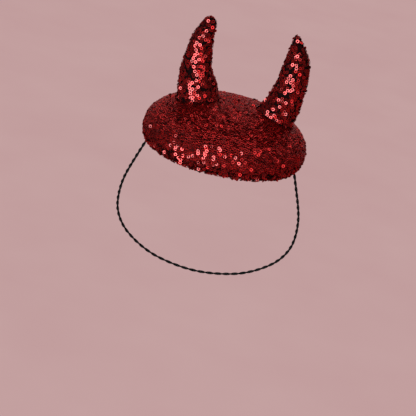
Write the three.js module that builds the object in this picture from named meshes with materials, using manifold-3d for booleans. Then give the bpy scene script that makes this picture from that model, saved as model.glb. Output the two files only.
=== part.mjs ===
// Horned fascinator: a hollow domed crown, two stuffed horns sewn on top and a thin elastic loop.
// Millimetres, +Z up. The origin is the middle of the rim's plane and the front faces -Y.
import * as THREE from 'three';
import { mergeVertices } from 'three/addons/utils/BufferGeometryUtils.js';
import Module from 'manifold-3d';

// Driving dimensions

const SEAT_GAP = 0.3;        // clearance between pieces that are sewn together

const CROWN = {
  width: 160,                // across the belly, side to side
  depth: 152,                // across the belly, front to back
  height: 53.7,              // rim to top
  bellyHeight: 14.7,         // rim to the widest level
  rimWidth: 148,             // across the rim, side to side
  wall: 2.4,
  rimSlant: 1.4,             // width of the flat rim for each unit of wall, as the side leans out there
  roundness: 2.24,           // power of the dome's curve: 2 is an ellipse, more is boxier
  tuckPower: 2.5,            // how sharply the side turns in below the belly
  sides: 64,
  domeSteps: 14,
  tuckSteps: 5,
};

const HORN = {
  spacing: 77.2,             // between the roots' middles
  shift: 5.2,                // the pair sits this far towards +X
  leanOut: 22.9,             // degrees from upright at the root, outwards
  hookIn: 20.6,              // degrees from upright at the tip, inwards
  length: 82.6,              // along the bent axis, root to tip
  sunk: 16,                  // straight stretch below the root, cut to the crown
  nose: { left: 3.6, right: 4.6 },  // round end past the last section
  noseSteps: 4,
  sideSteps: 16,
  sides: 28,
};

// Radius of each horn at shares of its length: the left one is blunt, the right one pointed.
const HORN_SECTIONS = [
  { share: 0, left: 21.3, right: 19.4 },
  { share: 0.12, left: 19.8, right: 17.9 },
  { share: 0.3, left: 16.4, right: 16.2 },
  { share: 0.5, left: 13.6, right: 14.0 },
  { share: 0.7, left: 10.9, right: 11.6 },
  { share: 0.85, left: 8.0, right: 7.8 },
  { share: 0.95, left: 6.4, right: 4.4 },
];

const ELASTIC = {
  diameter: 2.4,
  lean: 30,                  // degrees that the loop's plane leans back from upright
  steps: 80,
  sides: 8,
};

// Half of the elastic's route in its leaning plane, from the rim to the middle of the back.
const ELASTIC_ROUTE = [
  { side: 72.3, drop: 1.2 },
  { side: 76.0, drop: 15 },
  { side: 80.6, drop: 32 },
  { side: 85.3, drop: 50 },
  { side: 89.3, drop: 68 },
  { side: 91.5, drop: 86 },
  { side: 92.0, drop: 104 },
  { side: 90.6, drop: 119 },
  { side: 86.5, drop: 134 },
  { side: 79.7, drop: 148 },
  { side: 70.5, drop: 160 },
  { side: 59.1, drop: 171 },
  { side: 46.0, drop: 180 },
  { side: 31.5, drop: 186 },
  { side: 16.0, drop: 190 },
  { side: 0, drop: 191.5 },
];

const WELD = 1e-4;           // vertices closer than this are one
const TO_RADIANS = Math.PI / 180;

// Materials

const sequinRed = new THREE.MeshStandardMaterial({ color: 0x8f0d14, roughness: 0.3, metalness: 0.6 });
const elasticBlack = new THREE.MeshStandardMaterial({ color: 0x0b0a0b, roughness: 0.8, metalness: 0 });

// Solids for cutting

const wasm = await Module();
wasm.setup();

function toSolid(geometry) {
  const bare = geometry.clone();
  bare.deleteAttribute('normal');
  bare.deleteAttribute('uv');
  const welded = mergeVertices(bare, WELD);
  const corners = welded.index.array;
  const kept = [];
  for (let at = 0; at < corners.length; at += 3) {
    const [a, b, c] = corners.slice(at, at + 3);
    if (a !== b && b !== c && c !== a) {
      kept.push(a, b, c);
    }
  }
  return new wasm.Manifold(new wasm.Mesh({
    numProp: 3,
    vertProperties: new Float32Array(welded.attributes.position.array),
    triVerts: new Uint32Array(kept),
  }));
}

function toGeometry(solid) {
  const mesh = solid.getMesh();
  const geometry = new THREE.BufferGeometry();
  geometry.setAttribute('position', new THREE.BufferAttribute(mesh.vertProperties, 3));
  geometry.setIndex(new THREE.BufferAttribute(mesh.triVerts, 1));
  geometry.computeVertexNormals();
  return geometry;
}

// Crown

function domeHeight(radius, inset = 0) {
  const share = radius / (CROWN.width / 2 - inset);
  const rise = (1 - share ** CROWN.roundness) ** (1 / CROWN.roundness);
  return CROWN.bellyHeight + (CROWN.height - inset - CROWN.bellyHeight) * rise;
}

// Half of the crown's section from the top of the axis down to the rim, set in by the inset.
function domeProfile(inset) {
  const halfWidth = CROWN.width / 2 - inset;
  const rimRadius = CROWN.rimWidth / 2 - inset * CROWN.rimSlant;
  const points = [];
  for (let step = 0; step <= CROWN.domeSteps; step += 1) {
    const angle = (Math.PI / 2) * (step / CROWN.domeSteps);
    const radius = halfWidth * Math.sin(angle) ** (2 / CROWN.roundness);
    points.push(new THREE.Vector2(radius, domeHeight(radius, inset)));
  }
  for (let step = 1; step <= CROWN.tuckSteps; step += 1) {
    const drop = step / CROWN.tuckSteps;
    const radius = halfWidth - (halfWidth - rimRadius) * drop ** CROWN.tuckPower;
    points.push(new THREE.Vector2(radius, CROWN.bellyHeight * (1 - drop)));
  }
  return points;
}

function turned(profile, sides) {
  return new THREE.LatheGeometry(profile, sides).rotateX(Math.PI / 2);
}

function ovalDome(profile) {
  return turned(profile, CROWN.sides).scale(1, CROWN.depth / CROWN.width, 1);
}

function makeCrown() {
  const outside = domeProfile(0);
  const inside = domeProfile(CROWN.wall);
  return ovalDome([...inside, ...outside.reverse()]);
}

// Horns

function hornAngle(along) {
  const share = Math.max(along, 0) / HORN.length;
  return (HORN.leanOut - (HORN.leanOut + HORN.hookIn) * share) * TO_RADIANS;
}

// Point of the bent axis: straight below the root and an arc above it, first leaning towards +X.
function hornAxis(along) {
  const rootAngle = hornAngle(0);
  if (along <= 0) {
    return new THREE.Vector2(along * Math.sin(rootAngle), along * Math.cos(rootAngle));
  }
  const arcRadius = HORN.length / (rootAngle - hornAngle(HORN.length));
  const angle = hornAngle(along);
  return new THREE.Vector2(
    arcRadius * (Math.cos(angle) - Math.cos(rootAngle)),
    arcRadius * (Math.sin(rootAngle) - Math.sin(angle)),
  );
}

// Section of the horn before it is bent: radius against the distance along its axis.
function hornProfile(column) {
  const table = HORN_SECTIONS.map((row) => new THREE.Vector2(row[column], row.share * HORN.length));
  const last = table.at(-1);
  const nose = HORN.nose[column];
  const points = [new THREE.Vector2(0, -HORN.sunk), new THREE.Vector2(table[0].x, -HORN.sunk)];
  points.push(...new THREE.SplineCurve(table).getPoints(HORN.sideSteps));
  for (let step = 1; step < HORN.noseSteps; step += 1) {
    const angle = (Math.PI / 2) * (step / HORN.noseSteps);
    points.push(new THREE.Vector2(
      last.x * Math.cos(angle),
      last.y + nose * Math.sin(angle),
    ));
  }
  points.push(new THREE.Vector2(0, last.y + nose));
  return points;
}

function bendHorn(geometry) {
  const places = geometry.attributes.position;
  for (let at = 0; at < places.count; at += 1) {
    const across = places.getX(at);
    const along = places.getZ(at);
    const angle = hornAngle(along);
    const axis = hornAxis(along);
    places.setX(at, axis.x + across * Math.cos(angle));
    places.setZ(at, axis.y - across * Math.sin(angle));
  }
  return geometry;
}

// A horn that leans out towards +X, or half a turn round towards -X, seated on the crown.
function makeHorn(column, outward) {
  const horn = bendHorn(turned(hornProfile(column), HORN.sides));
  if (outward < 0) {
    horn.rotateZ(Math.PI);
  }
  const rootRadius = HORN.spacing / 2;
  horn.translate(HORN.shift + outward * rootRadius, 0, domeHeight(rootRadius));
  const seat = ovalDome([...domeProfile(-SEAT_GAP), new THREE.Vector2(0, 0)].reverse());
  return toGeometry(toSolid(horn).subtract(toSolid(seat)));
}

// Elastic

function elasticPoint(side, drop) {
  const lean = ELASTIC.lean * TO_RADIANS;
  return new THREE.Vector3(side, drop * Math.sin(lean), -drop * Math.cos(lean));
}

function makeElastic() {
  const right = ELASTIC_ROUTE.map(({ side, drop }) => elasticPoint(side, drop));
  const left = ELASTIC_ROUTE.slice(0, -1).map(({ side, drop }) => elasticPoint(-side, drop));
  const route = new THREE.CatmullRomCurve3([...right, ...left.reverse()], false, 'catmullrom', 0.5);
  const section = new THREE.Shape();
  for (let corner = 0; corner < ELASTIC.sides; corner += 1) {
    const angle = (2 * Math.PI * corner) / ELASTIC.sides;
    const x = (ELASTIC.diameter / 2) * Math.cos(angle);
    const y = (ELASTIC.diameter / 2) * Math.sin(angle);
    if (corner === 0) {
      section.moveTo(x, y);
    } else {
      section.lineTo(x, y);
    }
  }
  return new THREE.ExtrudeGeometry(section, { steps: ELASTIC.steps, extrudePath: route });
}

// Assembly

function piece(name, geometry, material) {
  const mesh = new THREE.Mesh(geometry, material);
  mesh.name = name;
  return mesh;
}

const fascinator = new THREE.Group();
fascinator.add(
  piece('crown', makeCrown(), sequinRed),
  piece('horn_left', makeHorn('left', -1), sequinRed.clone()),
  piece('horn_right', makeHorn('right', 1), sequinRed.clone()),
  piece('elastic_cord', makeElastic(), elasticBlack),
);

export default fascinator;
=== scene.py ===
"""Looks of the horned fascinator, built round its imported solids.

Metres, +Z up, the front to -Y. Dark net covers a stiff crown and two stuffed horns, thousands of flat
sequins are sewn to the net, and a flat black elastic runs round the back.
"""

import math

import bpy
import numpy as np
from mathutils import Matrix, Vector


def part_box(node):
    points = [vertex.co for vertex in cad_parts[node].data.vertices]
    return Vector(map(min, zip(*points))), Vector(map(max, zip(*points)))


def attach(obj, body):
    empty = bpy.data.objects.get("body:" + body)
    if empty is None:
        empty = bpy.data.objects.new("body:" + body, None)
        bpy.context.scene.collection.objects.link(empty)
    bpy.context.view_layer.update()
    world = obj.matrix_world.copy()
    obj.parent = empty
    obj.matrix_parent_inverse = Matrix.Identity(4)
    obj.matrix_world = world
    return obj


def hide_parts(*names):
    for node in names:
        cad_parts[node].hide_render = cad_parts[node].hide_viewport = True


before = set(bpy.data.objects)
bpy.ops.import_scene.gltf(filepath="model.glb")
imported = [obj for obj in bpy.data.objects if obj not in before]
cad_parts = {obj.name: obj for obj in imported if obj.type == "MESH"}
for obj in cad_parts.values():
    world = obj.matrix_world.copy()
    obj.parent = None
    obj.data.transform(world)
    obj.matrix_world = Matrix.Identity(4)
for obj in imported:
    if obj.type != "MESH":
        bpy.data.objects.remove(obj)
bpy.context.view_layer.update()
rng = np.random.default_rng(7)

# Sizes of the form, as in the solids

MM = 0.001
crown_low, crown_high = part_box("crown")
HALF_WIDTH = (crown_high[0] - crown_low[0]) / 2
DEPTH_RATIO = (crown_high[1] - crown_low[1]) / (crown_high[0] - crown_low[0])
HEIGHT = crown_high[2]
BELLY_HEIGHT = 14.7 * MM
RIM_RADIUS = 74 * MM
RIM_SLANT = 1.4
WALL = 2.4 * MM
ROUNDNESS = 2.24
TUCK_POWER = 2.5

HORN_SPACING = 77.2 * MM
HORN_SHIFT = 5.2 * MM
HORN_LENGTH = 82.6 * MM
LEAN_OUT = math.radians(22.9)
HOOK_IN = math.radians(20.6)
HORN_SUNK = 16 * MM
# Columns: share of the length, radius of the left horn and of the right one in millimetres.
HORN_SECTIONS = np.array([
    (0.00, 21.3, 19.4),
    (0.12, 19.8, 17.9),
    (0.30, 16.4, 16.2),
    (0.50, 13.6, 14.0),
    (0.70, 10.9, 11.6),
    (0.85, 8.0, 7.8),
    (0.95, 6.4, 4.4),
])
HORN_NOSE = {"left": 3.6 * MM, "right": 4.6 * MM}

ELASTIC_WIDTH = 2.9 * MM
ELASTIC_THICKNESS = 1.5 * MM
ELASTIC_BOXINESS = 0.6                  # power of its section: 1 is an oval, less is boxier
ELASTIC_CORNERS = 10
ELASTIC_STEPS = 26                      # cuts in each stretch of the route
ELASTIC_TWIST = 9.0 * MM                # length of each half turn
ELASTIC_RIB = 0.7 * MM
ELASTIC_SEWN_IN = 2 * MM                # length of each end inside the rim
ELASTIC_LEAN = math.radians(30)
# Half of the route in its leaning plane, in metres: distance to the side, drop from the rim.
ELASTIC_ROUTE = [
    (0.0723, 0.0012),
    (0.0760, 0.0150),
    (0.0806, 0.0320),
    (0.0853, 0.0500),
    (0.0893, 0.0680),
    (0.0915, 0.0860),
    (0.0920, 0.1040),
    (0.0906, 0.1190),
    (0.0865, 0.1340),
    (0.0797, 0.1480),
    (0.0705, 0.1600),
    (0.0591, 0.1710),
    (0.0460, 0.1800),
    (0.0315, 0.1860),
    (0.0160, 0.1900),
    (0.0000, 0.1915),
]

# Sizes of the trim

HEM_HEIGHT = 9 * MM
HEM_THICKNESS = 0.45 * MM
TURNED_UNDER = 2.2 * MM                 # width of the sequinned net under the rim
NET_INSET = 1.2 * MM                    # the net lies this far under the crown's surface
HORN_INSET = 0.6 * MM                   # and this far under the horns'
SHELL_COLUMNS = 160
SEWING_THREAD = 0.22 * MM               # radius

SEQUIN_OUTER = 1.6 * MM                 # radius, and that of the hole
SEQUIN_HOLE = 0.84 * MM
SEQUIN_THICKNESS = 0.2 * MM
SEQUIN_LIFT = (0.35 * MM, 0.75 * MM)    # from the net to the sequin's middle
SEQUIN_SIDES = 12
MOST_TILT = 1.1                         # radians, a limit to the wobble
KNOT_HEIGHT = 0.05 * MM
STITCH_WIDTH = 0.55 * MM                # of the stitch over a sequin's edge
STITCH_HEIGHT = 0.16 * MM
STITCH_OVERHANG = 0.1 * MM

CROWN_PIECES = 3                        # meshes that share the crown's sequins
CROWN_PITCH = (2.3 * MM, 1.9 * MM)      # along a row, and from row to row
CROWN_JITTER = 0.35 * MM
CROWN_TILE = math.radians(34)           # on its upright sides the crown's sequins overlap like tiles
CROWN_LEAN = math.radians(7)            # along the rows, to and fro
CROWN_WOBBLE = math.radians(6)
CROWN_HANG = math.radians(25)           # at the rim they hang the other way
HANG_ONSET = 5                          # share that hang, for each unit that the net faces down
RIM_WOBBLE = math.radians(10)           # more wobble for those
TOP_SHARE = 0.36                        # share that lie on top of the others on the steep sides
TOP_FACING = 0.75                       # upward part of the net's normal where that share is least
TOP_FADE = 0.3                          # change of the normal from least to full
TOP_LEAST = 0.1                         # the least, as a part of the full share
TOP_LIFT = 0.6 * MM                     # more lift for those on top
TOP_WOBBLE = math.radians(15)

HORN_PITCH = (3.2 * MM, 2.85 * MM)
HORN_JITTER = (0.16, 0.4 * MM)          # as a part of the pitch along a row, and from row to row
HORN_FIRST_ROW = 0.6 * MM
HORN_CLEAR = 0.5 * MM                   # the lowest sequins stay this far above the crown's net
HORN_GAPS = 0.08                        # share of the sequins that are missing
HORN_LEAN = math.radians(3)
HORN_WOBBLE = math.radians(10)
HORN_FLYERS = 0.18                      # share that stand away
FLYER_WOBBLE = 3                        # times the wobble of the others
HORN_ROWS = 46
HORN_COLUMNS = 60
HORN_STEPS = 12                         # cuts in each stretch of a horn's section
ROOT_ROWS = 6                           # rows that close the root, laid inside the crown's wall
ROOT_MIDDLE = 0.04                      # size of the innermost of them, as a part of the root
ROOT_DEPTH = 0.5 * MM                   # from the crown's net down to the closed root
ROOT_REACH = 15 * MM                    # depth below the root's middle where the crown's sequins give way
ROOT_STITCH_PITCH = 4.2 * MM
ROOT_STITCH_JITTER = 0.12               # as a part of the pitch
ROOT_STITCH_TOP = (1.6, 0.4)            # rows up and columns along from its foot
ROOT_STITCH_OUT = 2.0 * MM              # reach over the crown
ROOT_STITCH_SUNK = 0.2 * MM             # depth of its outer end under the net
LUMP_HEIGHT = 0.35 * MM
LUMP_LENGTHS = (9 * MM, 6 * MM, 4.5 * MM)
TIP_FADE = 6 * MM                       # the lumps die out over this length
TIP_GAP = 0.1 * MM                      # from the last row to the very tip
STUFFING_FRAMES = 20
STUFFING_CAP = 1.2 * MM


# Camera

PHOTO_SIZE = 416
CAMERA_DISTANCE = 1.7
CAMERA_ELEVATION = math.radians(17.44)
CAMERA_ROLL = math.radians(12.74)
AIM = np.array([0, 0, 0.025])
AIM_PIXEL = (226.6, 128.3)
PIXELS_PER_METRE = 1034.6


def make_camera():
    focal = PIXELS_PER_METRE * CAMERA_DISTANCE
    up = np.array([0, math.sin(CAMERA_ELEVATION), math.cos(CAMERA_ELEVATION)])
    back = np.array([0, -math.cos(CAMERA_ELEVATION), math.sin(CAMERA_ELEVATION)])
    right = np.array([1.0, 0, 0])
    turn, lean = math.cos(CAMERA_ROLL), math.sin(CAMERA_ROLL)
    axes = np.stack([turn * right + lean * up, turn * up - lean * right, back], 1)
    yaw = math.atan((AIM_PIXEL[0] - PHOTO_SIZE / 2) / focal)
    pitch = math.atan((AIM_PIXEL[1] - PHOTO_SIZE / 2) / focal)
    aimed = Matrix(axes.tolist()).to_4x4()
    aimed = aimed @ Matrix.Rotation(pitch, 4, "X") @ Matrix.Rotation(yaw, 4, "Y")
    data = bpy.data.cameras.new("camera")
    data.sensor_width = 36
    data.lens = data.sensor_width * focal / PHOTO_SIZE
    camera = bpy.data.objects.new("camera", data)
    camera.matrix_world = Matrix.Translation(AIM + CAMERA_DISTANCE * back) @ aimed
    bpy.context.collection.objects.link(camera)
    bpy.context.scene.camera = camera


make_camera()


# Mesh helpers

def unit(vectors):
    return vectors / np.linalg.norm(vectors, axis=-1, keepdims=True)


def add_mesh(name, verts, faces, materials, smooth=True, face_materials=None, tone=None, cloth=None):
    mesh = bpy.data.meshes.new(name)
    mesh.from_pydata(np.asarray(verts).tolist(), [], [list(face) for face in faces])
    for material in materials:
        mesh.materials.append(material)
    if face_materials is not None:
        mesh.polygons.foreach_set("material_index", np.asarray(face_materials, np.int32))
    mesh.polygons.foreach_set("use_smooth", np.full(len(mesh.polygons), smooth))
    if tone is not None:
        layer = mesh.attributes.new("tone", "FLOAT", "POINT")
        layer.data.foreach_set("value", np.asarray(tone, np.float32))
    if cloth is not None:
        layer = mesh.attributes.new("cloth", "FLOAT_VECTOR", "POINT")
        layer.data.foreach_set("vector", np.asarray(cloth, np.float32).ravel())
    mesh.update()
    piece = bpy.data.objects.new(name, mesh)
    bpy.context.collection.objects.link(piece)
    return piece


def dress(piece, slot_name, *nodes):
    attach(piece, "root")
    if nodes:
        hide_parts(*nodes)
    return piece


def catmull_rom(points, steps):
    """Points of a uniform Catmull-Rom curve, with each stretch cut into steps."""
    points = np.asarray(points, float)
    ends = np.vstack([2 * points[0] - points[1], points, 2 * points[-1] - points[-2]])
    t = (np.arange(steps) / steps)[:, None]
    curve = []
    for a, b, c, d in zip(ends, ends[1:], ends[2:], ends[3:]):
        slope_b, slope_c = (c - a) / 2, (d - b) / 2
        curve.append(
            (2 * t**3 - 3 * t**2 + 1) * b + (t**3 - 2 * t**2 + t) * slope_b
            + (3 * t**2 - 2 * t**3) * c + (t**3 - t**2) * slope_c
        )
    return np.vstack([*curve, points[-1:]])


def running_length(points):
    return np.concatenate([[0], np.cumsum(np.linalg.norm(np.diff(points, axis=0), axis=1))])


def grid_faces(rows, columns):
    """Quads of a grid whose columns close on themselves."""
    row, column = np.meshgrid(np.arange(rows - 1), np.arange(columns), indexing="ij")
    following = (column + 1) % columns
    corners = [row * columns + column, row * columns + following,
               (row + 1) * columns + following, (row + 1) * columns + column]
    return np.stack(corners, -1).reshape(-1, 4)


def capped_faces(rows, columns):
    """Faces of a grid whose columns close on themselves, with a cap on its first row and its last."""
    last = (rows - 1) * columns
    caps = [list(range(columns))[::-1], [last + column for column in range(columns)]]
    return [*grid_faces(rows, columns).tolist(), *caps]


def tube(path, radius, sides=6):
    """Closed round tube along a path: vertices and faces."""
    path = np.asarray(path, float)
    ahead = unit(np.gradient(path, axis=0))
    spare = np.array([0, 0, 1.0]) if abs(ahead[0][2]) < 0.9 else np.array([1.0, 0, 0])
    across = [unit(np.cross(ahead[0], spare))]
    for direction in ahead[1:]:
        moved = across[-1] - direction * (across[-1] @ direction)
        across.append(unit(moved))
    across = np.array(across)
    upward = np.cross(ahead, across)
    angle = 2 * np.pi * np.arange(sides) / sides
    ring = np.cos(angle)[None, :, None] * across[:, None] + np.sin(angle)[None, :, None] * upward[:, None]
    verts = (path[:, None] + radius * ring).reshape(-1, 3)
    return verts, capped_faces(len(path), sides)


def joined(parts):
    """Joins (vertices, faces) pairs into one pair."""
    verts, faces, start = [], [], 0
    for part_verts, part_faces in parts:
        verts.append(part_verts)
        faces.extend([corner + start for corner in face] for face in part_faces)
        start += len(part_verts)
    return np.vstack(verts), faces


# Materials

WAVE_AT_ONE = 2 * math.pi / 20          # spacing of a wave texture's bands at a scale of 1
NET_WEAVE = 900


def new_material(name):
    material = bpy.data.materials.new(name)
    material.use_nodes = True
    tree = material.node_tree
    return material, tree.nodes, tree.links, tree.nodes["Principled BSDF"]


def surface(shader, roughness, specular):
    shader.inputs["Roughness"].default_value = roughness
    shader.inputs["Specular IOR Level"].default_value = specular


def maths(nodes, links, operation, *values):
    node = nodes.new("ShaderNodeMath")
    node.operation = operation
    for value, socket in zip(values, node.inputs):
        links.new(value, socket)
    return node.outputs[0]


def wave(nodes, links, place, direction, scale):
    texture = nodes.new("ShaderNodeTexWave")
    texture.bands_direction = direction
    texture.inputs["Scale"].default_value = scale
    links.new(place, texture.inputs["Vector"])
    return texture.outputs["Fac"]


def bump_from(nodes, links, height, shader, strength, distance):
    bump = nodes.new("ShaderNodeBump")
    bump.inputs["Strength"].default_value = strength
    bump.inputs["Distance"].default_value = distance
    links.new(height, bump.inputs["Height"])
    for normal in ("Normal", "Coat Normal"):
        links.new(bump.outputs["Normal"], shader.inputs[normal])


def color_ramp(nodes, links, factor, stops):
    ramp = nodes.new("ShaderNodeValToRGB")
    while len(ramp.color_ramp.elements) < len(stops):
        ramp.color_ramp.elements.new(0.5)
    for element, (position, color) in zip(ramp.color_ramp.elements, stops):
        element.position = position
        element.color = (*color, 1)
    links.new(factor, ramp.inputs["Fac"])
    return ramp.outputs["Color"]


def noise(nodes, links, scale, detail=2.0):
    place = nodes.new("ShaderNodeTexCoord")
    texture = nodes.new("ShaderNodeTexNoise")
    texture.inputs["Scale"].default_value = scale
    texture.inputs["Detail"].default_value = detail
    links.new(place.outputs["Object"], texture.inputs["Vector"])
    return texture.outputs["Fac"]


def sequin_material(name, reds, pale, roughness, coat, coat_roughness):
    """Red foil with a clear coat: its dull and bright reds, and the share of green and blue in them."""
    material, nodes, links, shader = new_material(name)
    tone = nodes.new("ShaderNodeAttribute")
    tone.attribute_name = "tone"
    dull, bright = reds
    color = color_ramp(nodes, links, tone.outputs["Fac"], [
        (0.0, (dull, pale * dull, pale * dull)),
        (1.0, (bright, pale * bright, pale * bright)),
    ])
    links.new(color, shader.inputs["Base Color"])
    shader.inputs["Metallic"].default_value = 0.9
    shader.inputs["Specular Tint"].default_value = (1.0, 0.4, 0.4, 1)
    shader.inputs["Coat Weight"].default_value = coat
    shader.inputs["Coat Roughness"].default_value = coat_roughness
    worn = nodes.new("ShaderNodeMapRange")
    worn.inputs["To Min"].default_value, worn.inputs["To Max"].default_value = roughness
    links.new(noise(nodes, links, scale=900), worn.inputs["Value"])
    links.new(worn.outputs["Result"], shader.inputs["Roughness"])
    bump_from(nodes, links, noise(nodes, links, scale=650), shader, strength=0.18, distance=0.0002)
    return material


def net_material():
    """Dark net: two crossed waves give its threads on the flatter parts, and a third one on the sides."""
    material, nodes, links, shader = new_material("net_dark_red")
    place = nodes.new("ShaderNodeTexCoord").outputs["Object"]
    across, along, upward = [wave(nodes, links, place, axis, NET_WEAVE) for axis in "XYZ"]
    crossed = maths(nodes, links, "MULTIPLY", across, along)
    threads = maths(nodes, links, "MAXIMUM", crossed, upward)
    uneven = maths(nodes, links, "MULTIPLY", threads, noise(nodes, links, scale=120))
    color = color_ramp(nodes, links, uneven, [
        (0.0, (0.002, 0.0004, 0.0004)),
        (0.8, (0.012, 0.0006, 0.0008)),
    ])
    links.new(color, shader.inputs["Base Color"])
    surface(shader, roughness=0.9, specular=0.03)
    bump_from(nodes, links, threads, shader, strength=0.5, distance=0.0003)
    return material


def inside_material(name, dark, light, thread_pitch):
    """Plain woven cloth laid over the dome: its threads cross in the flat cloth's own plane."""
    material, nodes, links, shader = new_material(name)
    flat = nodes.new("ShaderNodeAttribute")
    flat.attribute_name = "cloth"
    scale = WAVE_AT_ONE / thread_pitch
    across, along = [wave(nodes, links, flat.outputs["Vector"], axis, scale) for axis in "XY"]
    crossed = maths(nodes, links, "MULTIPLY", across, along)
    uneven = maths(nodes, links, "MULTIPLY", crossed, noise(nodes, links, scale=90))
    color = color_ramp(nodes, links, uneven, [(0.0, dark), (0.6, light)])
    links.new(color, shader.inputs["Base Color"])
    surface(shader, roughness=0.9, specular=0.1)
    bump_from(nodes, links, crossed, shader, strength=0.6, distance=0.0004)
    return material


def thread_material(name, dark, light):
    material, nodes, links, shader = new_material(name)
    color = color_ramp(nodes, links, noise(nodes, links, scale=500), [(0.2, dark), (0.8, light)])
    links.new(color, shader.inputs["Base Color"])
    surface(shader, roughness=0.8, specular=0.05)
    bump_from(nodes, links, noise(nodes, links, scale=3000), shader, strength=0.4, distance=0.0001)
    return material


def elastic_material():
    """Black woven elastic: ribs across its length, from the distance along it."""
    material, nodes, links, shader = new_material("elastic_black")
    along = nodes.new("ShaderNodeAttribute")
    along.attribute_name = "tone"
    ribs = maths(nodes, links, "SINE", along.outputs["Fac"])
    color = color_ramp(nodes, links, noise(nodes, links, scale=700), [
        (0.2, (0.002, 0.001, 0.001)),
        (0.9, (0.008, 0.005, 0.005)),
    ])
    links.new(color, shader.inputs["Base Color"])
    surface(shader, roughness=0.8, specular=0.05)
    bump_from(nodes, links, ribs, shader, strength=0.6, distance=0.0002)
    return material


SEQUIN = sequin_material(
    "sequin_red", reds=(0.22, 0.55), pale=0.023, roughness=(0.08, 0.20), coat=0.42, coat_roughness=0.08,
)
LAID_SEQUIN = sequin_material(
    "sequin_red_laid", reds=(0.28, 0.47), pale=0.011, roughness=(0.30, 0.46), coat=0.35, coat_roughness=0.25,
)
THREAD = thread_material("thread_dark_red", dark=(0.008, 0.0006, 0.0006), light=(0.030, 0.0012, 0.0012))
ELASTIC_THREAD = thread_material("thread_black", dark=(0.003, 0.003, 0.003), light=(0.012, 0.011, 0.012))
NET = net_material()
INSIDE = inside_material(
    "inside_cloth", dark=(0.06, 0.024, 0.026), light=(0.32, 0.11, 0.115), thread_pitch=1.6 * MM,
)
HEM = inside_material(
    "hem_cloth", dark=(0.06, 0.006, 0.008), light=(0.34, 0.026, 0.030), thread_pitch=0.9 * MM,
)
ELASTIC = elastic_material()


# Elastic

def elastic_route():
    right = [(side, drop * math.sin(ELASTIC_LEAN), -drop * math.cos(ELASTIC_LEAN))
             for side, drop in ELASTIC_ROUTE]
    left = [(-side, back, height) for side, back, height in right[-2::-1]]
    return np.array(right + left)


def make_elastic():
    path = catmull_rom(elastic_route(), ELASTIC_STEPS)
    sewn_in = np.array([0, 0, ELASTIC_SEWN_IN])
    path = np.vstack([path[0] + sewn_in, path, path[-1] + sewn_in])
    run = running_length(path)
    ahead = unit(np.gradient(path, axis=0))
    leaning = np.array([0, math.cos(ELASTIC_LEAN), math.sin(ELASTIC_LEAN)])
    side = np.cross(ahead, leaning)
    turn = math.pi * run / ELASTIC_TWIST
    wide = np.cos(turn)[:, None] * leaning + np.sin(turn)[:, None] * side
    thin = np.cross(ahead, wide)
    angle = 2 * np.pi * np.arange(ELASTIC_CORNERS) / ELASTIC_CORNERS
    flat_x, flat_y = [np.sign(part) * np.abs(part) ** ELASTIC_BOXINESS * size / 2 for part, size in (
        (np.cos(angle), ELASTIC_WIDTH),
        (np.sin(angle), ELASTIC_THICKNESS),
    )]
    verts = path[:, None] + flat_x[None, :, None] * wide[:, None] + flat_y[None, :, None] * thin[:, None]
    faces = capped_faces(len(path), ELASTIC_CORNERS)
    ribs = np.repeat(run * 2 * math.pi / ELASTIC_RIB, ELASTIC_CORNERS)
    elastic = add_mesh("elastic", verts.reshape(-1, 3), faces, [ELASTIC], tone=ribs)
    dress(elastic, "elastic", "elastic_cord")


TACK_TURNS = 5
TACK_STEPS = 60
TACK_START = 0.9 * MM                   # before the elastic's end
TACK_LENGTH = 2.6 * MM
TACK_RADII = (1.45 * MM, 1.2 * MM)      # across the elastic and through it


def make_tacks():
    """Thread wound round each end of the elastic where it is sewn to the rim."""
    share = np.linspace(0, 1, TACK_STEPS)[:, None]
    angle = 2 * np.pi * TACK_TURNS * share
    route = elastic_route()
    windings = []
    for end, following in ((0, 1), (-1, -2)):
        ahead = unit(route[following] - route[end])
        across = unit(np.cross(ahead, (0, 1, 0)))
        upward = np.cross(ahead, across)
        middle = route[end] + ahead * (share * TACK_LENGTH - TACK_START)
        around = TACK_RADII[0] * np.cos(angle) * across + TACK_RADII[1] * np.sin(angle) * upward
        windings.append(tube(middle + around, SEWING_THREAD))
    dress(add_mesh("elastic_tacks", *joined(windings), [ELASTIC_THREAD]), "elastic")


make_elastic()
make_tacks()


# Crown

def dome_height(radius, inset=0.0):
    share = np.clip(radius / (HALF_WIDTH - inset), 0, 1)
    rise = (1 - share**ROUNDNESS) ** (1 / ROUNDNESS)
    return BELLY_HEIGHT + (HEIGHT - inset - BELLY_HEIGHT) * rise


def crown_profile(inset, dome_steps=60, tuck_steps=24):
    """Radius and height of the crown's section, from the top of the axis to the rim."""
    half_width = HALF_WIDTH - inset
    rim_radius = RIM_RADIUS - inset * RIM_SLANT
    angle = np.linspace(0, np.pi / 2, dome_steps + 1)
    radius = half_width * np.sin(angle) ** (2 / ROUNDNESS)
    dome = np.stack([radius, dome_height(radius, inset)], 1)
    drop = np.linspace(0, 1, tuck_steps + 1)[1:]
    radius = half_width - (half_width - rim_radius) * drop**TUCK_POWER
    tuck = np.stack([radius, BELLY_HEIGHT * (1 - drop)], 1)
    return np.vstack([dome, tuck])


def on_oval(radius, angle, height):
    return np.stack([radius * np.cos(angle), DEPTH_RATIO * radius * np.sin(angle), height], -1)


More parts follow.
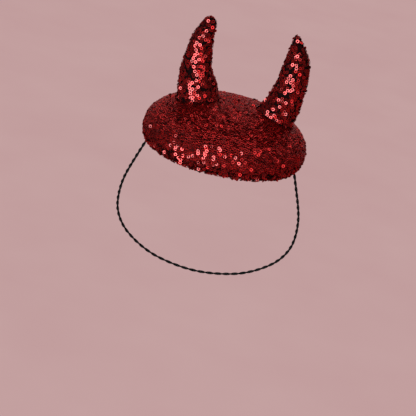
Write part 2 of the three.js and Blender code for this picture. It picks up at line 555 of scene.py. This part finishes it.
def make_crown_shell():
    """The net outside, the cloth inside and the hem at the rim, as one closed wall."""
    outside = crown_profile(NET_INSET)
    inside = crown_profile(WALL)
    turned_in = inside[:, 1] < HEM_HEIGHT
    inside[turned_in, 0] -= HEM_THICKNESS
    section = np.vstack([outside[1:], inside[:0:-1]])
    run = np.concatenate([running_length(outside)[1:], running_length(inside)[:0:-1]])[:, None]
    columns = SHELL_COLUMNS
    angle = 2 * np.pi * np.arange(columns) / columns
    verts = on_oval(section[:, :1] + 0 * angle, angle[None, :], section[:, 1:] + 0 * angle).reshape(-1, 3)
    faces = grid_faces(len(section), columns)[:, ::-1].tolist()
    top = len(verts)
    verts = np.vstack([verts, [[0, 0, outside[0, 1]], [0, 0, inside[0, 1]]]])
    last = (len(section) - 1) * columns
    for column in range(columns):
        following = (column + 1) % columns
        faces.append([top, column, following])
        faces.append([top + 1, last + following, last + column])
    cloth = np.stack([run * np.cos(angle), run * np.sin(angle), 0 * run * angle], -1).reshape(-1, 3)
    cloth = np.vstack([cloth, np.zeros((2, 3))])
    rim = len(outside) - 2
    row_of_face = np.repeat(np.arange(len(section) - 1), columns)
    side_materials = (row_of_face > rim).astype(int) + (row_of_face > rim + turned_in.sum())
    face_materials = np.concatenate([side_materials, np.tile([0, 2], columns)])
    shell = add_mesh("crown_shell", verts, faces, [NET, HEM, INSIDE],
                     face_materials=face_materials, cloth=cloth)
    dress(shell, "sequin_fabric", "crown")


make_crown_shell()


# Sequins

def sequin_template():
    """A sequin in the plane z = 0, sewn down by a knot in its hole and a stitch over its edge.

    Returns vertices, faces and the material of each face: 0 for the sequin, 1 for the thread.
    """
    angle = 2 * np.pi * np.arange(SEQUIN_SIDES) / SEQUIN_SIDES
    circle = np.stack([np.cos(angle), np.sin(angle), 0 * angle], 1)
    knot, underside = 2 * SEQUIN_SIDES, 2 * SEQUIN_SIDES + 1
    middles = [(0, 0, KNOT_HEIGHT), (0, 0, -SEQUIN_THICKNESS)]
    faces, thread = [], []
    for side in range(SEQUIN_SIDES):
        after = (side + 1) % SEQUIN_SIDES
        faces.append([side, after, SEQUIN_SIDES + after, SEQUIN_SIDES + side])
        faces.append([after, side, underside])
        faces.append([SEQUIN_SIDES + side, SEQUIN_SIDES + after, knot])
        thread += [0, 0, 1]
    disc = np.vstack([SEQUIN_OUTER * circle, SEQUIN_HOLE * circle, middles]), faces
    near, far = -STITCH_OVERHANG, SEQUIN_OUTER + STITCH_OVERHANG
    left, right, low = -STITCH_WIDTH / 2, STITCH_WIDTH / 2, -STITCH_HEIGHT / 2
    section = ((left, low), (right, low), (0, STITCH_HEIGHT))
    bar = np.array([(along, across, height) for along in (near, far) for across, height in section])
    bar_faces = [[2, 1, 0], [3, 4, 5], [0, 1, 4, 3], [1, 2, 5, 4], [2, 0, 3, 5]]
    verts, faces = joined([disc, (bar, bar_faces)])
    return verts, faces, thread + [1] * len(bar_faces)


def sew_sequins(name, place, normal, row, lean, wobble, shiny):
    """One mesh of sequins: each has its lean, a slope along the surface, and a random wobble on it.

    The shiny ones glint as bright rings. The others have the duller finish of the laid ones.
    """
    count = len(place)
    side = np.cross(normal, row)
    tilt = np.clip(rng.normal(0, 1, (2, count)) * wobble, -MOST_TILT, MOST_TILT)
    turn_row, turn_side = np.tan(tilt)[..., None]
    up = unit(unit(normal + lean) + turn_row * row + turn_side * side)
    spin = rng.uniform(-np.pi, np.pi, count)[:, None]
    start = np.cos(spin) * row + np.sin(spin) * side
    ahead = unit(start - up * np.sum(start * up, 1, keepdims=True))
    axes = np.stack([ahead, np.cross(up, ahead), up], -1)
    lift = rng.uniform(*SEQUIN_LIFT, count)[:, None]
    template, template_faces, template_materials = sequin_template()
    verts = (place + lift * normal)[:, None] + np.einsum("nij,vj->nvi", axes, template)
    faces = [[corner + first for corner in face]
             for first in range(0, count * len(template), len(template))
             for face in template_faces]
    tone = np.repeat(rng.random(count), len(template))
    materials = [SEQUIN, THREAD] if shiny.all() else [SEQUIN, THREAD, LAID_SEQUIN]
    sequin_slot = np.where(shiny, 0, 2)[:, None]
    face_materials = np.where(np.array(template_materials) == 1, 1, sequin_slot).ravel()
    piece = add_mesh(name, verts.reshape(-1, 3), faces, materials, smooth=False,
                     face_materials=face_materials, tone=tone)
    return dress(piece, "sequin_fabric")


def crown_cloth():
    """Table of the net on the crown: flat radius of the cloth against the section it covers."""
    profile = crown_profile(NET_INSET, dome_steps=400, tuck_steps=160)
    rim_radius = profile[-1, 0]
    under = np.linspace(rim_radius, rim_radius - TURNED_UNDER, 20)[1:]
    profile = np.vstack([profile, np.stack([under, 0 * under], 1)])
    run = running_length(profile)
    middle = (profile[1:, 0] + profile[:-1, 0]) / 2
    flat = np.sqrt(2 * np.concatenate([[0], np.cumsum(middle * np.diff(run))]))
    slope = unit(np.gradient(profile, run, axis=0))
    return flat, profile, slope


CLOTH_FLAT, CLOTH_PROFILE, CLOTH_SLOPE = crown_cloth()


def lay_on_crown(across, along):
    """Places and normals on the crown of points of the flat cloth."""
    flat = np.hypot(across, along)
    angle = np.arctan2(along, across)
    radius = np.interp(flat, CLOTH_FLAT, CLOTH_PROFILE[:, 0])
    height = np.interp(flat, CLOTH_FLAT, CLOTH_PROFILE[:, 1])
    out = -np.interp(flat, CLOTH_FLAT, CLOTH_SLOPE[:, 1])
    upward = np.interp(flat, CLOTH_FLAT, CLOTH_SLOPE[:, 0])
    normal = np.stack([out * np.cos(angle), out * np.sin(angle) / DEPTH_RATIO, upward], -1)
    return on_oval(radius, angle, height), unit(normal)


def cloth_lattice(reach, pitch, row_pitch, jitter):
    """Staggered rows of points over a round cloth, with the row that each is in."""
    rows = np.arange(-int(reach / row_pitch), int(reach / row_pitch) + 1)
    points, row_numbers = [], []
    for row in rows:
        half = math.sqrt(max(reach**2 - (row * row_pitch) ** 2, 0))
        across = np.arange(-half + rng.random() * pitch, half, pitch)
        points.append(np.stack([across, np.full(len(across), row * row_pitch)], 1))
        row_numbers.append(np.full(len(across), row))
    points = np.vstack(points)
    points += rng.normal(0, jitter, points.shape)
    return points, np.concatenate(row_numbers)


def under_horns(place, roots):
    """True where a horn stands on the crown: inside the ring of its root, seen from above."""
    hidden = np.zeros(len(place), bool)
    for root in roots:
        middle = root.mean(0)
        ring, spot = root - middle, place - middle
        ring_angle = np.arctan2(ring[:, 1], ring[:, 0])
        ring_radius = np.hypot(ring[:, 0], ring[:, 1])
        spot_angle = np.arctan2(spot[:, 1], spot[:, 0])
        reach = np.interp(spot_angle, ring_angle, ring_radius, period=2 * np.pi)
        hidden |= (np.hypot(spot[:, 0], spot[:, 1]) < reach) & (spot[:, 2] > -ROOT_REACH)
    return hidden


def make_crown_sequins(roots):
    cloth, row_number = cloth_lattice(CLOTH_FLAT[-1], *CROWN_PITCH, CROWN_JITTER)
    place, normal = lay_on_crown(cloth[:, 0], cloth[:, 1])
    nudged, _ = lay_on_crown(cloth[:, 0] + 0.5 * MM, cloth[:, 1])
    row = nudged - place
    row = unit(row - normal * np.sum(row * normal, 1, keepdims=True))
    row *= np.where(row_number % 2, 1, -1)[:, None]
    facing_up = normal[:, 2]
    upslope = np.array([0, 0, 1.0]) - normal * facing_up[:, None]
    hangs = rng.random(len(place)) < np.clip(-HANG_ONSET * facing_up, 0, 1)
    slope = np.where(hangs, -math.tan(CROWN_HANG), math.tan(CROWN_TILE))[:, None]
    lean = slope * upslope + math.tan(CROWN_LEAN) * row
    wobble = CROWN_WOBBLE + RIM_WOBBLE * hangs
    steep = np.clip((TOP_FACING - facing_up) / TOP_FADE, TOP_LEAST, 1)
    on_top = rng.random(len(place)) < TOP_SHARE * steep
    lean[on_top] = 0
    wobble[on_top] = TOP_WOBBLE + RIM_WOBBLE * hangs[on_top]
    place = place + TOP_LIFT * on_top[:, None] * normal
    kept = ~under_horns(place, roots)
    turn = (np.arctan2(place[:, 1], place[:, 0]) + np.pi) / (2 * np.pi)
    part_of = (turn * CROWN_PIECES).astype(int) % CROWN_PIECES
    for part in range(CROWN_PIECES):
        chosen = kept & (part_of == part)
        sew_sequins(f"crown_sequins_{part + 1}", place[chosen], normal[chosen], row[chosen],
                    lean[chosen], wobble[chosen], shiny=on_top[chosen])


# Horns

def horn_angle(along):
    return LEAN_OUT - (LEAN_OUT + HOOK_IN) * np.maximum(along, 0) / HORN_LENGTH


def horn_axis(along):
    """Outward and upward place of the bent axis: straight below the root, an arc above it."""
    arc_radius = HORN_LENGTH / (LEAN_OUT + HOOK_IN)
    angle = horn_angle(along)
    below = np.minimum(along, 0)
    outward = arc_radius * (np.cos(angle) - math.cos(LEAN_OUT)) + below * math.sin(LEAN_OUT)
    upward = arc_radius * (math.sin(LEAN_OUT) - np.sin(angle)) + below * math.cos(LEAN_OUT)
    return outward, upward


def horn_profile(name):
    """Radius and distance along the axis, from below the root to the tip."""
    column = 1 if name == "left" else 2
    table = np.stack([HORN_SECTIONS[:, column] * MM, HORN_SECTIONS[:, 0] * HORN_LENGTH], 1)
    side = catmull_rom(table, HORN_STEPS)
    turn = np.linspace(0, np.pi / 2, HORN_STEPS + 1)[1:]
    nose_height = HORN_NOSE[name] - HORN_INSET
    nose = np.stack([table[-1, 0] * np.cos(turn), table[-1, 1] + nose_height * np.sin(turn)], 1)
    sunk = np.linspace(-HORN_SUNK, 0, HORN_STEPS + 1)[:-1]
    below = np.stack([np.full(HORN_STEPS, table[0, 0]), sunk], 1)
    profile = np.vstack([below, side, nose])
    profile[:, 0] = np.maximum(profile[:, 0] - HORN_INSET, 0)
    return profile


def lumps(angle, along, phase):
    """Uneven stuffing: a smooth swelling and sinking of the horn's side."""
    long, middling, short = LUMP_LENGTHS
    return LUMP_HEIGHT * (
        np.sin(2 * angle + along / long + phase)
        + 0.7 * np.sin(3 * angle - along / middling + 2 * phase)
        + 0.5 * np.sin(along / short + angle + 3 * phase)
    )


def on_horn(radius, angle, along, outward):
    """Place on a horn that leans out towards +X, or towards -X for an outward of -1."""
    out, up = horn_axis(along)
    tilt = horn_angle(along)
    foot_height = dome_height(HORN_SPACING / 2)
    x = out + radius * np.cos(angle) * np.cos(tilt)
    y = radius * np.sin(angle)
    z = up - radius * np.cos(angle) * np.sin(tilt)
    return np.stack([HORN_SHIFT + outward * (HORN_SPACING / 2 + x), outward * y, foot_height + z], -1)


def above_dome(place):
    """Height of points above the crown's net."""
    radius = np.hypot(place[..., 0], place[..., 1] / DEPTH_RATIO)
    return place[..., 2] - dome_height(radius, NET_INSET)


def horn_grid(name, outward, phase):
    """Rows of points from the horn's root on the crown up to its tip."""
    profile = horn_profile(name)
    run = running_length(profile)
    angle = 2 * np.pi * np.arange(HORN_COLUMNS) / HORN_COLUMNS
    fade = np.clip((run[-1] - run) / TIP_FADE, 0, 1)

    def skin(at_run):
        radius = np.interp(at_run, run, profile[:, 0])
        along = np.interp(at_run, run, profile[:, 1])
        swell = lumps(angle, along, phase) * np.interp(at_run, run, fade)
        return on_horn(radius + swell, angle, along, outward)

    fine = np.linspace(0, run[-1], 800)[:, None] + 0 * angle
    root = fine[np.argmax(above_dome(skin(fine)) > -ROOT_DEPTH, axis=0), 0]
    share = np.linspace(0, 1, HORN_ROWS)[:, None]
    return skin(root + share * (run[-1] - TIP_GAP - root))


def root_rows(ring):
    """Rows that close the horn's root, from close to its middle out to its ring."""
    middle = ring.mean(0)
    share = np.linspace(ROOT_MIDDLE, 1, ROOT_ROWS + 1)[:-1, None, None]
    rows = middle + share * (ring - middle)
    rows[..., 2] -= above_dome(rows) + ROOT_DEPTH
    return rows


def stuff_horn(horn, grid):
    """Blows the horn up a little as cloth sewn down at its root, and returns the settled points."""
    scene = bpy.context.scene
    sewn = horn.vertex_groups.new(name="sewn")
    sewn.add(list(range((ROOT_ROWS + 2) * HORN_COLUMNS)), 1.0, "REPLACE")
    loose = horn.vertex_groups.new(name="loose")
    for vertex, weight in enumerate(rng.random(len(horn.data.vertices))):
        loose.add([vertex], float(weight), "REPLACE")
    cloth = horn.modifiers.new("stuffing", "CLOTH")
    settings = cloth.settings
    settings.quality = 6
    settings.mass = 0.1
    settings.tension_stiffness = 12
    settings.compression_stiffness = 12
    settings.shear_stiffness = 6
    settings.bending_stiffness = 0.2
    settings.air_damping = 3
    settings.vertex_group_mass = "sewn"
    settings.vertex_group_shrink = "loose"
    settings.shrink_min = -0.03
    settings.shrink_max = 0.06
    settings.use_pressure = True
    settings.uniform_pressure_force = 4
    settings.effector_weights.gravity = 0
    for step in range(1, STUFFING_FRAMES + 1):
        scene.frame_set(step)
    settled = horn.evaluated_get(bpy.context.evaluated_depsgraph_get()).data
    points = np.empty(3 * len(settled.vertices))
    settled.vertices.foreach_get("co", points)
    move = points.reshape(grid.shape) - grid
    far = np.linalg.norm(move, axis=-1, keepdims=True)
    move *= np.minimum(1, STUFFING_CAP / np.maximum(far, 1e-9))
    horn.modifiers.remove(cloth)
    horn.vertex_groups.clear()
    scene.frame_set(1)
    grid = grid + move
    horn.data.vertices.foreach_set("co", grid.ravel())
    horn.data.update()
    return grid


def read_grid(grid, row, column):
    """Points of the horn's grid at fractional rows and columns."""
    row = np.clip(row, 0, HORN_ROWS - 1.001)
    low = row.astype(int)
    left = np.floor(column).astype(int)
    up, right = (row - low)[:, None], (column - left)[:, None]
    left, after = left % HORN_COLUMNS, (left + 1) % HORN_COLUMNS
    below = grid[low, left] * (1 - right) + grid[low, after] * right
    above = grid[low + 1, left] * (1 - right) + grid[low + 1, after] * right
    return below * (1 - up) + above * up


def make_horn_sequins(name, grid):
    pitch, row_pitch = HORN_PITCH
    jitter, row_jitter = HORN_JITTER
    step = np.linalg.norm(np.diff(grid, axis=0), axis=2).mean(1)
    run = np.concatenate([[0], np.cumsum(step)])
    girth = np.linalg.norm(np.diff(grid, axis=1, append=grid[:, :1]), axis=2).sum(1)
    rows, columns = [], []
    for at in np.arange(HORN_FIRST_ROW, run[-1] + 0.5 * row_pitch, row_pitch):
        around = np.interp(at, run, girth)
        count = max(3, round(around / pitch))
        spacing = HORN_COLUMNS / count
        column = spacing * (np.arange(count) + rng.random()) + rng.normal(0, jitter * spacing, count)
        row = np.interp(at + rng.normal(0, row_jitter, count), run, np.arange(HORN_ROWS))
        rows.append(row)
        columns.append(column)
    row, column = np.concatenate(rows), np.concatenate(columns)
    place = read_grid(grid, row, column)
    downward = read_grid(grid, row - 0.5, column) - read_grid(grid, row + 0.5, column)
    sideways = read_grid(grid, row, column + 0.5) - read_grid(grid, row, column - 0.5)
    normal = unit(np.cross(downward, sideways))
    downward = unit(downward - normal * np.sum(downward * normal, 1, keepdims=True))
    kept = (above_dome(place) > HORN_CLEAR) & (rng.random(len(place)) > HORN_GAPS)
    wobble = HORN_WOBBLE * np.where(rng.random(kept.sum()) < HORN_FLYERS, FLYER_WOBBLE, 1)
    sew_sequins(f"horn_{name}_sequins", place[kept], normal[kept], downward[kept],
                math.tan(HORN_LEAN) * downward[kept], wobble, shiny=np.ones(kept.sum(), bool))


def make_root_stitches(name, grid):
    """Stitches that join a horn's root to the crown, all round it."""
    girth = np.linalg.norm(np.diff(grid[0], axis=0, append=grid[0, :1]), axis=1).sum()
    count = round(girth / ROOT_STITCH_PITCH)
    column = HORN_COLUMNS * (np.arange(count) + rng.normal(0, ROOT_STITCH_JITTER, count)) / count
    middle = grid[0].mean(0)
    rows_up, columns_along = ROOT_STITCH_TOP
    share = np.linspace(0, 1, 6)[:, None]
    stitches = []
    for at in column:
        foot, high = read_grid(grid, np.array([0.0, rows_up]), np.array([at, at + columns_along]))
        out = unit((foot - middle) * (1, 1, 0))
        away = foot + out * ROOT_STITCH_OUT
        away[2] -= above_dome(away) + ROOT_STITCH_SUNK
        bend = foot + (out + (0, 0, 0.8)) * MM
        arc = (1 - share) ** 2 * away + 2 * share * (1 - share) * bend + share**2 * high
        stitches.append(tube(arc, SEWING_THREAD, sides=5))
    dress(add_mesh(f"horn_{name}_stitches", *joined(stitches), [THREAD]), "sequin_fabric")


def make_horn(name, outward, phase):
    """One horn with its sequins and stitches. Returns the ring of its root."""
    grid = horn_grid(name, outward, phase)
    closed = np.concatenate([root_rows(grid[0]), grid])
    faces = capped_faces(len(closed), HORN_COLUMNS)
    horn = add_mesh(f"horn_{name}_stuffed", closed.reshape(-1, 3), faces, [NET])
    grid = stuff_horn(horn, closed)[ROOT_ROWS:]
    dress(horn, "sequin_fabric", f"horn_{name}")
    make_horn_sequins(name, grid)
    make_root_stitches(name, grid)
    return grid[0]


horn_roots = [make_horn("left", outward=-1, phase=0.4), make_horn("right", outward=1, phase=2.1)]
make_crown_sequins(horn_roots)


# Stage and light

FLOOR_DROP = 2.2
FLOOR_REACH = 30.0
FLOOR_GLOW = 0.5
FLOOR_BOUNCE = (0.72, 0.12, 0.12)
BACKDROP = (0.545, 0.353, 0.352)


def shown_or_lent(nodes, links, lent, shown):
    """Colour that differs for what the camera sees and for the light that reaches the object."""
    path = nodes.new("ShaderNodeLightPath")
    choice = nodes.new("ShaderNodeMix")
    choice.data_type = "RGBA"
    links.new(path.outputs["Is Camera Ray"], choice.inputs["Factor"])
    for corner, color in (("A", lent), ("B", shown)):
        if isinstance(color, tuple):
            choice.inputs[corner].default_value = (*color, 1)
        else:
            links.new(color, choice.inputs[corner])
    return choice.outputs["Result"]


def make_floor():
    """A pale pink floor that glows evenly, so that the lights leave no pools on it."""
    material, nodes, links, shader = new_material("floor_pale_pink")
    color = color_ramp(nodes, links, noise(nodes, links, scale=2.5), [
        (0.3, (0.97, 0.62, 0.62)),
        (0.7, (1.00, 0.655, 0.65)),
    ])
    links.new(shown_or_lent(nodes, links, FLOOR_BOUNCE, color), shader.inputs["Emission Color"])
    shader.inputs["Emission Strength"].default_value = FLOOR_GLOW
    shader.inputs["Base Color"].default_value = (0.09, 0.06, 0.06, 1)
    surface(shader, roughness=0.95, specular=0.1)
    corners = ((-1, -1), (1, -1), (1, 1), (-1, 1))
    verts = [(FLOOR_REACH * x, FLOOR_REACH * y, -FLOOR_DROP) for x, y in corners]
    add_mesh("floor", verts, [[0, 1, 2, 3]], [material], smooth=False)


def add_softbox(name, azimuth, elevation, distance, size, power, color):
    """A flat light that faces the fascinator: azimuth 0 is the front, and grows to +X."""
    data = bpy.data.lights.new(name, "AREA")
    data.shape = "RECTANGLE"
    data.size, data.size_y = size
    data.energy = power
    data.color = color
    light = bpy.data.objects.new(name, data)
    azimuth, elevation = math.radians(azimuth), math.radians(elevation)
    level = math.cos(elevation)
    away = np.array([math.sin(azimuth) * level, -math.cos(azimuth) * level, math.sin(elevation)])
    light.location = AIM + distance * away
    light.rotation_euler = Vector(-away).to_track_quat("-Z", "Y").to_euler()
    light.visible_camera = False
    bpy.context.collection.objects.link(light)


def make_world():
    """Dim to the front, pale pink to the back and softly lit from above. It shows as plain as the floor."""
    world = bpy.data.worlds.new("studio")
    world.use_nodes = True
    bpy.context.scene.world = world
    nodes, links = world.node_tree.nodes, world.node_tree.links
    place = nodes.new("ShaderNodeTexCoord")
    parts = nodes.new("ShaderNodeSeparateXYZ")
    links.new(place.outputs["Generated"], parts.inputs["Vector"])
    backward = nodes.new("ShaderNodeMapRange")
    backward.inputs["From Min"].default_value = -1
    links.new(parts.outputs["Y"], backward.inputs["Value"])
    around = color_ramp(nodes, links, backward.outputs["Result"], [
        (0.0, (0.10, 0.035, 0.035)),
        (0.45, (0.14, 0.06, 0.06)),
        (0.75, (0.14, 0.07, 0.07)),
        (1.0, (0.50, 0.48, 0.47)),
    ])
    upward = nodes.new("ShaderNodeMapRange")
    upward.inputs["From Min"].default_value = 0.45
    links.new(parts.outputs["Z"], upward.inputs["Value"])
    mixed = nodes.new("ShaderNodeMix")
    mixed.data_type = "RGBA"
    links.new(upward.outputs["Result"], mixed.inputs["Factor"])
    links.new(around, mixed.inputs["A"])
    mixed.inputs["B"].default_value = (0.85, 0.60, 0.59, 1)
    color = shown_or_lent(nodes, links, mixed.outputs["Result"], BACKDROP)
    links.new(color, nodes["Background"].inputs["Color"])


make_floor()
make_world()
add_softbox("key", azimuth=-23, elevation=0, distance=2.2, size=(1.9, 2.0), power=145, color=(0.42, 1.0, 1.0))
add_softbox("side", azimuth=25, elevation=6, distance=2.4, size=(1.4, 1.8), power=18, color=(1.0, 0.7, 0.7))
add_softbox("back", azimuth=180, elevation=62, distance=2.4, size=(2.4, 1.6), power=18, color=(1.0, 0.5, 0.5))
bpy.context.scene.view_settings.view_transform = "Standard"
